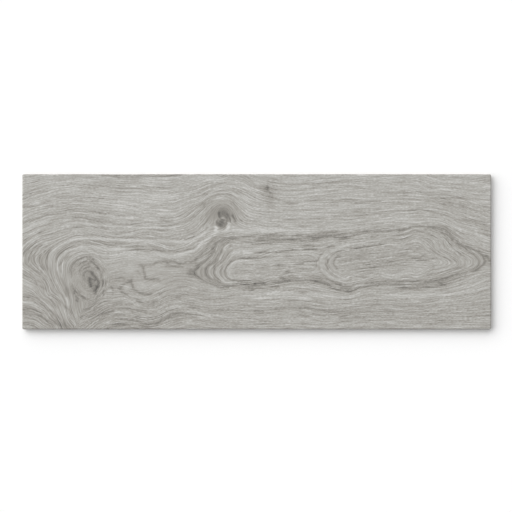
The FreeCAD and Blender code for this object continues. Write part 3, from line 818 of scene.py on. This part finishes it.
def inside(places, outline):
    """Which places lie inside a closed outline.

    A line to the right from such a place crosses the outline an odd number of times.
    """
    x, y = places.T
    crossings = np.zeros(len(places), int)
    for (start_x, start_y), (end_x, end_y) in zip(outline, outline[1:] + outline[:1]):
        if start_y != end_y:
            passes = (start_y > y) != (end_y > y)
            crossings += passes & (x < start_x + (y - start_y) * (end_x - start_x) / (end_y - start_y))
    return crossings % 2 == 1


def fibre_levels(places):
    """Level of the fibre through each place.

    It is the same all along one fibre, and jumps at the seam and at the loop.
    """
    wrapping = []
    for level, points in FIBRE_LINES:
        kept = [point for point in points if level < PASSING_LEVEL or point[0] > PASSING_FROM]
        wrapping.append((level, kept))
    passing = [line for line in FIBRE_LINES if line[0] > PASSING_LEVEL - PASSING_OVERLAP]
    wrapped = level_surface(wrapping, places)
    passed = level_surface(passing, places)
    (foot_x, foot_y), (head_x, head_y) = SEAM_FOOT, SEAM_HEAD
    seam = foot_x + (places[:, 1] - foot_y) * (head_x - foot_x) / (head_y - foot_y)
    levels = np.where((passed > PASSING_LEVEL) & (places[:, 0] > seam), passed, wrapped)
    looped = inside(places, LOOP_OUTLINE)
    rings = level_surface(LOOP_RINGS, places)
    looped &= rings < CORE_LEVEL
    levels[looped] = LOOP_LEVEL + rings[looped]
    return levels


def draw_line(tone, places, levels, width, points):
    """Adds one growth line to the tone: levels at its middle, fading across it and towards its ends."""
    curve = smooth_curve(points)
    reach = LINE_REACH * width
    near = np.flatnonzero(((places > curve.min(0) - reach) & (places < curve.max(0) + reach)).all(1))
    start, run = curve[:-1], np.diff(curve, axis=0)
    offset = places[near, None] - start
    share = np.clip((offset * run).sum(2) / (run**2).sum(1), 0, 1)
    distance = np.linalg.norm(offset - share[..., None] * run, axis=2)
    nearest = distance.argmin(1)
    row = np.arange(len(near))
    along = (nearest + share[row, nearest]) / len(run)
    fade = np.clip(np.minimum(along, 1 - along) * LINE_END_RISE + LINE_END_SHARE, 0, 1)
    tone[near] += levels * fade * np.exp(-((distance[row, nearest] / width) ** 2))


def draw_shade(tone, places, levels, centre, radii, turn):
    """Adds one soft oval shade to the tone."""
    offset = places - centre
    cos, sin = math.cos(math.radians(turn)), math.sin(math.radians(turn))
    along = (offset[:, 0] * cos + offset[:, 1] * sin) / radii[0]
    across = (offset[:, 1] * cos - offset[:, 0] * sin) / radii[1]
    tone += levels * np.exp(-((along**2 + across**2) ** SHADE_EDGE))


def grain_coordinates(places):
    """Coordinates along, across and along the grain, in pixels, and the halvings that even it out.

    In the big knot the grain runs in rings: there the second coordinate runs outward, the others go round.
    """
    levels = fibre_levels(places)
    slope_x = (fibre_levels(places + [SLOPE_STEP, 0]) - levels) / SLOPE_STEP
    slope_y = (fibre_levels(places + [0, SLOPE_STEP]) - levels) / SLOPE_STEP
    halvings = np.log2(np.clip(np.hypot(slope_x, slope_y), *CROWDING_LIMITS))
    grain = np.column_stack((places[:, 0], levels, np.zeros(len(places))))
    offset = (places - KNOT_CENTRE) / KNOT_RADII
    ring = np.linalg.norm(offset, axis=1)
    size = sum(KNOT_RADII) / 2
    around = offset / np.maximum(ring, KNOT_EYE)[:, None] * RING_BREAKS * size
    rings = np.column_stack((around[:, 0], ring * size, around[:, 1]))
    in_knot = ring < 1
    grain[in_knot] = rings[in_knot]
    halvings[in_knot] = 0
    return grain, halvings


def grain_noise(grain, length, width, seed):
    """Noise from about -1 to 1, in streaks that long along the grain and that wide across it, in pixels."""
    return np.array([noise.noise(Vector((a / length, b / width + seed, c / length))) for a, b, c in grain])


def figure_tone(places):
    """Grey levels that the figure adds to the plain print, a little uneven from the loop's left end on."""
    flat = np.column_stack((places, np.zeros(len(places))))
    in_loop = np.clip((places[:, 0] - WOBBLE_START) / WOBBLE_RAMP, 0, 1)
    stepped = places.copy()
    stepped[:, 0] += in_loop * grain_noise(flat, WOBBLE_LENGTH, WOBBLE_WIDTH, WOBBLE_SEED)
    tone = np.zeros(len(places))
    for levels, width, points in GROWTH_LINES:
        draw_line(tone, stepped, levels, width, points)
    tone *= LINE_STRENGTH
    for levels, centre, radii, turn in SHADES:
        draw_shade(tone, stepped, levels, centre, radii, turn)
    return tone


def select_only(*pieces):
    """Leaves just these objects selected, the first one active."""
    bpy.ops.object.select_all(action="DESELECT")
    for piece in pieces:
        piece.select_set(True)
    bpy.context.view_layer.objects.active = pieces[0]


def corner_core(x, y):
    """The nearest point to (x, y) of the rectangle that the corners' centres span."""
    inset = FACE_CORNER_RADIUS + ARRIS_RADIUS
    core_x = min(max(x, inset - HALF_LENGTH), HALF_LENGTH - inset)
    core_y = min(max(y, inset - HALF_WIDTH), HALF_WIDTH - inset)
    return Vector((core_x, core_y, 0))


def extrude_ring(mesh, outset, height):
    """Extrudes the selected border to a ring that far out from the corners' centres, at that height."""
    bpy.ops.mesh.extrude_region_move()
    shape = bmesh.from_edit_mesh(mesh)
    for vertex in shape.verts:
        if vertex.select:
            core = corner_core(vertex.co.x, vertex.co.y)
            outward = Vector((vertex.co.x, vertex.co.y, 0)) - core
            vertex.co = core + outward.normalized() * outset + Vector((0, 0, height))
    bmesh.update_edit_mesh(mesh)


def gathered(share):
    """Place, from -1 to 1 along the face, of the column with that share of all the columns to its left."""
    spots, spacing = zip(*COLUMN_SPACING)
    along = np.linspace(TILE_LEFT, TILE_RIGHT, SPACING_STEPS)
    count = np.cumsum(1 / np.interp(along, spots, spacing))
    counted = (count - count[0]) / (count[-1] - count[0])
    return np.interp(share, counted, np.linspace(-1, 1, SPACING_STEPS))


def pressed_shell():
    """The face as a fine grid, with the arris, the upright land and the leaning side drawn down from it."""
    bpy.ops.object.select_all(action="DESELECT")
    bpy.ops.mesh.primitive_grid_add(
        x_subdivisions=FACE_COLUMNS, y_subdivisions=FACE_ROWS, size=1, location=(0, 0, 0)
    )
    shell = bpy.context.object
    shell.name = shell.data.name = "glazed_plank"
    bpy.ops.object.mode_set(mode="EDIT")
    flat = (2 * (HALF_LENGTH - ARRIS_RADIUS), 2 * (HALF_WIDTH - ARRIS_RADIUS), 1)
    bpy.ops.transform.resize(value=flat)
    bpy.ops.transform.translate(value=(0, 0, FACE_HEIGHT))
    bpy.ops.mesh.select_mode(type="VERT")
    bpy.ops.mesh.select_all(action="DESELECT")
    shape = bmesh.from_edit_mesh(shell.data)
    for vertex in shape.verts:
        vertex.co.x = gathered(vertex.co.x / flat[0] + 0.5) * flat[0] / 2
        is_corner = len(vertex.link_edges) == 2
        vertex.select_set(is_corner)
    bmesh.update_edit_mesh(shell.data)
    bpy.ops.mesh.bevel(offset=FACE_CORNER_RADIUS, segments=CORNER_STEPS, affect="VERTICES")
    bpy.ops.mesh.select_all(action="SELECT")
    bpy.ops.mesh.region_to_loop()
    for step in range(1, ARRIS_STEPS + 1):
        turn = step / ARRIS_STEPS * math.pi / 2
        outset = FACE_CORNER_RADIUS + ARRIS_RADIUS * math.sin(turn)
        extrude_ring(shell.data, outset, FACE_HEIGHT - ARRIS_RADIUS * (1 - math.cos(turn)))
    outline = FACE_CORNER_RADIUS + ARRIS_RADIUS
    extrude_ring(shell.data, outline, DRAFT_HEIGHT)
    extrude_ring(shell.data, outline, 0)
    lean = (1 - DRAFT_INSET / HALF_LENGTH, 1 - DRAFT_INSET / HALF_WIDTH, 1)
    bpy.ops.transform.resize(value=lean, center_override=(0, 0, 0))
    bpy.ops.object.mode_set(mode="OBJECT")
    return shell


def key_pockets(node):
    """A copy of the CAD tile, kept only at the walls and floors of the back's pockets."""
    pockets = node.copy()
    pockets.data = node.data.copy()
    pockets.parent = None
    bpy.context.scene.collection.objects.link(pockets)
    select_only(pockets)
    bpy.ops.object.mode_set(mode="EDIT")
    bpy.ops.mesh.select_all(action="SELECT")
    bpy.ops.mesh.remove_doubles(threshold=MERGE_DISTANCE)
    bpy.ops.mesh.select_mode(type="FACE")
    bpy.ops.mesh.select_all(action="DESELECT")
    shape = bmesh.from_edit_mesh(pockets.data)
    for face in shape.faces:
        top = max(vertex.co.z for vertex in face.verts)
        face.select_set(not ABOVE_RIBS < top < ABOVE_POCKETS)
    bmesh.update_edit_mesh(pockets.data)
    bpy.ops.mesh.delete(type="FACE")
    bpy.ops.object.mode_set(mode="OBJECT")
    return pockets


def tile_piece():
    """The whole visible tile: the pressed shell closed by the keyed back."""
    pockets = key_pockets(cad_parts["plank_tile"])
    tile = pressed_shell()
    select_only(tile, pockets)
    bpy.ops.object.join()
    bpy.ops.object.mode_set(mode="EDIT")
    bpy.ops.mesh.select_mode(type="EDGE")
    bpy.ops.mesh.select_all(action="DESELECT")
    bpy.ops.mesh.select_non_manifold(
        use_wire=False, use_multi_face=False, use_non_contiguous=False, use_verts=False
    )
    bpy.ops.mesh.fill(use_beauty=True)
    bpy.ops.mesh.select_all(action="SELECT")
    bpy.ops.mesh.normals_make_consistent(inside=False)
    bpy.ops.object.mode_set(mode="OBJECT")
    return tile


def vertex_places(mesh):
    """All the vertices of a mesh as an array."""
    places = np.empty(len(mesh.vertices) * 3)
    mesh.vertices.foreach_get("co", places)
    return places.reshape(-1, 3)


def store(mesh, name, values):
    """Stores one number for each vertex under that name."""
    mesh.attributes.new(name, "FLOAT", "POINT").data.foreach_set("value", values)


def give_figure(tile):
    """Stores the figure, with the painted shade over the arris in it, and the fibres on the tile's
    vertices, and presses the dark lines into the face.
    """
    mesh = tile.data
    points = vertex_places(mesh)
    places = photo_places(points)
    grain, halvings = grain_coordinates(places)
    tone = figure_tone(places)
    # Painted shade over the arris, darker further down the rounded edge; it goes into the stored figure
    over_arris = np.clip((FACE_HEIGHT - points[:, 2]) / ARRIS_RADIUS, 0, 1)
    tone += ARRIS_PAINTED_SHADE * np.sqrt(over_arris)
    store(mesh, "figure", tone / WHITE_LEVEL)
    store(mesh, "halvings", halvings)
    for name, plain, shades in (("streaking", 1.0, CALM_PLACES), ("lining", 0.0, LINED_PLACES)):
        share = np.full(len(places), plain)
        for shade in shades:
            draw_shade(share, places, *shade)
        store(mesh, name, share)
    fibres = mesh.attributes.new("grain", "FLOAT_VECTOR", "POINT")
    fibres.data.foreach_set("vector", (grain * PIXEL).ravel())
    flat = np.abs(points[:, 2] - FACE_HEIGHT) < TOLERANCE
    from_arris = np.minimum(
        HALF_LENGTH - ARRIS_RADIUS - np.abs(points[:, 0]), HALF_WIDTH - ARRIS_RADIUS - np.abs(points[:, 1])
    )
    fade = np.clip(from_arris / RELIEF_MARGIN, 0, 1) * flat
    points[:, 2] -= RELIEF_DEPTH * fade * np.clip(-tone / RELIEF_FULL, 0, 1)
    mesh.vertices.foreach_set("co", points.ravel())
    mesh.update()


def lay_out_map(tile):
    """A map for baking: the face and sides unrolled over most of it, and the back below them."""
    mesh = tile.data
    points = vertex_places(mesh)
    core = np.array([corner_core(x, y)[:2] for x, y in points[:, :2]])
    outward = points[:, :2] - core
    reach = np.linalg.norm(outward, axis=1, keepdims=True)
    outward /= np.maximum(reach, TINY)
    land = FACE_HEIGHT - ARRIS_RADIUS
    rise = np.clip((points[:, 2] - land) / ARRIS_RADIUS, 0, 1)
    unrolled = ARRIS_RADIUS * np.arccos(rise) + np.maximum(land - points[:, 2], 0)
    on_side = (points[:, 2] < FACE_HEIGHT - SIDE_DROP) | (reach[:, 0] > FACE_CORNER_RADIUS + TOLERANCE)
    face = points[:, :2].copy()
    side = core + outward * (FACE_CORNER_RADIUS + unrolled[:, None])
    face[on_side] = side[on_side]
    skirt = ARRIS_RADIUS * math.pi / 2 + land - ARRIS_RADIUS
    half = np.array([HALF_LENGTH + skirt, HALF_WIDTH + skirt])
    face_middle = np.array([0.5, (1 + MAP_BACK_SHARE) / 2])
    face_map = face_middle + face / half * [0.5 - MAP_MARGIN, (1 - MAP_BACK_SHARE) / 2 - MAP_MARGIN]
    back_half = np.array([HALF_LENGTH, HALF_WIDTH])
    back_middle = np.array([0.5, MAP_BACK_SHARE / 2])
    back_map = back_middle + points[:, :2] / back_half * [0.5 - MAP_MARGIN, MAP_BACK_SHARE / 2 - MAP_MARGIN]
    is_back = np.array([
        max(points[index, 2] for index in polygon.vertices) < ABOVE_POCKETS for polygon in mesh.polygons
    ])
    corner = np.empty(len(mesh.loops), np.int32)
    mesh.loops.foreach_get("vertex_index", corner)
    sizes = np.empty(len(mesh.polygons), np.int32)
    mesh.polygons.foreach_get("loop_total", sizes)
    back_corner = np.repeat(is_back, sizes)
    places = np.where(back_corner[:, None], back_map[corner], face_map[corner])
    layer = mesh.uv_layers.new(name="OFBake")
    layer.data.foreach_set("uv", places.astype(np.float32).ravel())


def linear(hex_colour):
    """An sRGB hex colour as linear red, green and blue with full alpha."""
    parts = [int(hex_colour[i:i + 2], 16) / WHITE_LEVEL for i in (1, 3, 5)]
    return [p / 12.92 if p <= 0.04045 else ((p + 0.055) / 1.055) ** 2.4 for p in parts] + [1.0]


def add_node(tree, kind, inputs=None, **settings):
    """Adds a node with its settings, and gives each named input a value or a link."""
    node = tree.nodes.new(kind)
    for name, value in settings.items():
        setattr(node, name, value)
    for name, value in (inputs or {}).items():
        if isinstance(value, bpy.types.NodeSocket):
            tree.links.new(value, node.inputs[name])
        else:
            node.inputs[name].default_value = value
    return node


def new_material(name):
    """A material with an empty node tree."""
    material = bpy.data.materials.new(name)
    material.use_nodes = True
    material.node_tree.nodes.clear()
    return material


# Print: grey level of the plain ground, and the colours that levels from dark to light are printed in
GROUND_TONE = 175
PRINT_COLOURS = [
    (90, "#54524E"), (134, "#7D7A74"), (150, "#8C8983"), (161, "#95928C"), (169, "#9D9A94"),
    (177, "#A3A19C"), (185, "#AAA9A4"), (194, "#B3B2AE"), (210, "#C3C2BF"),
]

# Streaks of the print: length and width in mm, strength in grey levels, share that only the lined places
# have, how far they break the growth lines, and place in the noise. The finest fibres of oak, about 0.3 mm
# wide, are too fine to show, so no streak is drawn narrower than 0.85 mm
STREAKS = [
    (300, 1.7, 66, 0.6, 0.5, 0.0),
    (60, 1.6, 74, 0.0, 0.9, 3.0),
    (18, 0.9, 100, 0.0, 1.2, 5.0),
    (3.4, 0.85, 84, 0.0, 0.7, 9.0),
]


def evened_grain(tree, halvings):
    """The grain's coordinates at the whole numbers of halvings on both sides, each with its weight."""
    grain = add_node(tree, "ShaderNodeAttribute", attribute_name="grain").outputs["Vector"]
    whole = add_node(tree, "ShaderNodeMath", {0: halvings}, operation="FLOOR").outputs[0]
    share = add_node(tree, "ShaderNodeMath", {0: halvings}, operation="FRACT").outputs[0]
    left = add_node(tree, "ShaderNodeMath", {0: 1.0, 1: share}, operation="SUBTRACT").outputs[0]
    evened = []
    for more, part in ((0.0, left), (1.0, share)):
        halved = add_node(tree, "ShaderNodeMath", {0: whole, 1: more}, operation="ADD").outputs[0]
        across = add_node(tree, "ShaderNodeMath", {0: 0.5, 1: halved}, operation="POWER").outputs[0]
        weight = add_node(tree, "ShaderNodeMath", {0: part}, operation="SQRT").outputs[0]
        scale = add_node(tree, "ShaderNodeCombineXYZ", {"X": 1.0, "Y": across, "Z": 1.0}).outputs[0]
        even = add_node(tree, "ShaderNodeVectorMath", {0: grain, 1: scale}, operation="MULTIPLY").outputs[0]
        evened.append((even, weight))
    return evened


def streak_height(tree, evened, length, width, offset):
    """One set of streaks that long and wide, in millimetres, from about -0.5 to 0.5 high."""
    height = 0.0
    for even, weight in evened:
        scaled = add_node(
            tree, "ShaderNodeMapping",
            {"Vector": even, "Location": (offset, offset, offset),
             "Scale": (1 / (length * MM), 1 / (width * MM), 1 / (length * MM))},
        )
        streak = add_node(
            tree, "ShaderNodeTexNoise",
            {"Vector": scaled.outputs["Vector"], "Scale": 1.0, "Detail": 1.0, "Roughness": 0.6},
        )
        centred = add_node(tree, "ShaderNodeMath", {0: streak.outputs["Fac"], 1: 0.5}, operation="SUBTRACT")
        height = add_node(
            tree, "ShaderNodeMath", {0: centred.outputs[0], 1: weight, 2: height}, operation="MULTIPLY_ADD"
        ).outputs[0]
    return height


def printed_tone(tree):
    """Grey tone of the print, and the height of its finest streaks.

    The streaks lie on the plain ground, and break up the figure that is printed with them.
    """
    stored = {}
    for name in ("figure", "halvings", "streaking", "lining"):
        stored[name] = add_node(tree, "ShaderNodeAttribute", attribute_name=name).outputs["Fac"]
    evened = evened_grain(tree, stored["halvings"])
    total = 0.0
    breaks = 0.0
    for length, width, levels, lined, breaking, offset in STREAKS:
        height = streak_height(tree, evened, length, width, offset)
        strength = add_node(
            tree, "ShaderNodeMath", {0: stored["lining"], 1: lined, 2: 1 - lined}, operation="MULTIPLY_ADD"
        ).outputs[0]
        seen = add_node(tree, "ShaderNodeMath", {0: height, 1: strength}, operation="MULTIPLY").outputs[0]
        total = add_node(
            tree, "ShaderNodeMath", {0: seen, 1: levels / WHITE_LEVEL, 2: total}, operation="MULTIPLY_ADD"
        ).outputs[0]
        breaks = add_node(
            tree, "ShaderNodeMath", {0: height, 1: -breaking, 2: breaks}, operation="MULTIPLY_ADD"
        ).outputs[0]
    ground = GROUND_TONE / WHITE_LEVEL
    total = add_node(
        tree, "ShaderNodeMath", {0: total, 1: stored["streaking"], 2: ground}, operation="MULTIPLY_ADD"
    ).outputs[0]
    broken = add_node(
        tree, "ShaderNodeMath", {0: breaks, 1: stored["streaking"], 2: 1.0}, operation="MULTIPLY_ADD"
    ).outputs[0]
    # The stored figure, which also holds the painted shade over the arris, goes on top, broken by the
    # streaks
    total = add_node(
        tree, "ShaderNodeMath", {0: stored["figure"], 1: broken, 2: total}, operation="MULTIPLY_ADD"
    ).outputs[0]
    return total, height


def matt_wood_glaze():
    """Inkjet wood print under a matt porcelain glaze, on a pressed face.

    It gives the eye a soft grey with no mirror, and a faint sheen that the pressed grain breaks up.
    """
    material = new_material("matt_wood_glaze")
    tree = material.node_tree
    tone, height = printed_tone(tree)
    ramp = add_node(tree, "ShaderNodeValToRGB", {"Fac": tone})
    stops = ramp.color_ramp.elements
    while len(stops) < len(PRINT_COLOURS):
        stops.new(0.5)
    for stop, (level, colour) in zip(stops, PRINT_COLOURS):
        stop.position = level / WHITE_LEVEL
        stop.color = linear(colour)
    gloss = add_node(
        tree, "ShaderNodeMapRange",
        {"Value": height, "From Min": -0.3, "From Max": 0.3, "To Min": 0.5, "To Max": 0.66},
    )
    bump = add_node(tree, "ShaderNodeBump", {"Height": height, "Strength": 0.35, "Distance": 0.1 * MM})
    glaze = add_node(
        tree, "ShaderNodeBsdfPrincipled",
        {"Base Color": ramp.outputs["Color"], "Roughness": gloss.outputs["Result"], "IOR": 1.5,
         "Normal": bump.outputs["Normal"]},
    )
    add_node(tree, "ShaderNodeOutputMaterial", {"Surface": glaze.outputs["BSDF"]})
    return material


# Body: size of the flecks and of the cloudiness in mm, the flecks' share in the colour, and its colours.
# The granules of the press powder, about 0.3 mm across, are too fine to show, so they are drawn at 0.9 mm
FLECK_SIZE, CLOUD_SIZE = 0.9, 25
FLECK_SHARE = 0.6
BODY_COLOURS = [(0.3, "#8E8981"), (0.7, "#ABA69D")]


def bare_porcelain():
    """Fired porcelain body without glaze: pale warm grey and dull, with a sandy fleck from its powder."""
    material = new_material("bare_porcelain")
    tree = material.node_tree
    place = add_node(tree, "ShaderNodeTexCoord").outputs["Object"]
    speckle = {"Vector": place, "Scale": 1 / (FLECK_SIZE * MM), "Detail": 3.0}
    fleck = add_node(tree, "ShaderNodeTexNoise", speckle).outputs["Fac"]
    clouding = {"Vector": place, "Scale": 1 / (CLOUD_SIZE * MM), "Detail": 2.0}
    cloud = add_node(tree, "ShaderNodeTexNoise", clouding).outputs["Fac"]
    mixed = 0.0
    for part, share in ((fleck, FLECK_SHARE), (cloud, 1 - FLECK_SHARE)):
        mixed = add_node(
            tree, "ShaderNodeMath", {0: part, 1: share, 2: mixed}, operation="MULTIPLY_ADD"
        ).outputs[0]
    ramp = add_node(tree, "ShaderNodeValToRGB", {"Fac": mixed})
    for stop, (position, colour) in zip(ramp.color_ramp.elements, BODY_COLOURS):
        stop.position = position
        stop.color = linear(colour)
    bump = add_node(tree, "ShaderNodeBump", {"Height": fleck, "Strength": 0.4, "Distance": 0.1 * MM})
    body = add_node(
        tree, "ShaderNodeBsdfPrincipled",
        {"Base Color": ramp.outputs["Color"], "Roughness": 0.85, "IOR": 1.5,
         "Normal": bump.outputs["Normal"]},
    )
    add_node(tree, "ShaderNodeOutputMaterial", {"Surface": body.outputs["BSDF"]})
    return material


def dress(tile):
    """Glaze on the face and arris, bare porcelain on the sides and back."""
    tile.data.materials.clear()
    tile.data.materials.append(matt_wood_glaze())
    tile.data.materials.append(bare_porcelain())
    glaze_end = FACE_HEIGHT - ARRIS_RADIUS - TOLERANCE
    for polygon in tile.data.polygons:
        lowest = min(tile.data.vertices[index].co.z for index in polygon.vertices)
        polygon.material_index = 0 if lowest > glaze_end else 1


# Stage: size of the floor in metres and strength of the white surroundings
FLOOR_SIZE = 12
SURROUND_STRENGTH = 0.41

# Large soft lights, one more from the left and one more from the far side: name, where it shines from and
# strength, and the angle in degrees that each fills
SOFT_KEYS = [("left_key", (-1.58, 0.62, 1.2), 2.2), ("far_key", (-0.6, 1.58, 1.25), 1.6)]
KEY_ANGLE = 62


def white_paper():
    """Matt white paper: bright, with no gloss, so that only the soft shadow shows on it."""
    paper = new_material("white_paper")
    tree = paper.node_tree
    sheet = add_node(tree, "ShaderNodeBsdfPrincipled", {"Base Color": linear("#F4F4F4"), "Roughness": 0.9})
    add_node(tree, "ShaderNodeOutputMaterial", {"Surface": sheet.outputs["BSDF"]})
    return paper


def studio():
    """A plain pale floor, soft white surroundings and the two soft keys."""
    bpy.ops.mesh.primitive_plane_add(size=FLOOR_SIZE, location=(0, 0, 0))
    floor = bpy.context.object
    floor.name = "floor"
    floor.data.materials.append(white_paper())
    world = bpy.data.worlds.new("studio")
    world.use_nodes = True
    tree = world.node_tree
    tree.nodes.clear()
    white = {"Color": linear("#FFFFFF"), "Strength": SURROUND_STRENGTH}
    around = add_node(tree, "ShaderNodeBackground", white)
    add_node(tree, "ShaderNodeOutputWorld", {"Surface": around.outputs["Background"]})
    bpy.context.scene.world = world
    for name, place, strength in SOFT_KEYS:
        key = bpy.data.lights.new(name, "SUN")
        key.angle = math.radians(KEY_ANGLE)
        key.energy = strength
        lamp = bpy.data.objects.new(name, key)
        lamp.location = place
        lamp.rotation_euler = lamp.location.to_track_quat("Z", "Y").to_euler()
        bpy.context.scene.collection.objects.link(lamp)


def camera():
    """Looks straight down on the face, framed as the photograph is."""
    lens = bpy.data.cameras.new("camera")
    lens.sensor_width = SENSOR_WIDTH
    lens.lens = LENS_LENGTH
    eye = bpy.data.objects.new("camera", lens)
    distance = PHOTO_SIZE * PIXEL * lens.lens / lens.sensor_width
    middle = PHOTO_SIZE / 2
    eye.location = ((middle - CENTRE_X) * PIXEL, (CENTRE_Y - middle) * PIXEL, FACE_HEIGHT + distance)
    bpy.context.scene.collection.objects.link(eye)
    bpy.context.scene.camera = eye


def main():
    tile = tile_piece()
    lay_out_map(tile)
    give_figure(tile)
    dress(tile)
    select_only(tile)
    bpy.ops.object.shade_smooth_by_angle(angle=math.radians(SMOOTH_ANGLE))
    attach(tile, "root")
    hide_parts("plank_tile")
    studio()
    camera()
    bpy.context.scene.view_settings.view_transform = "Standard"


main()
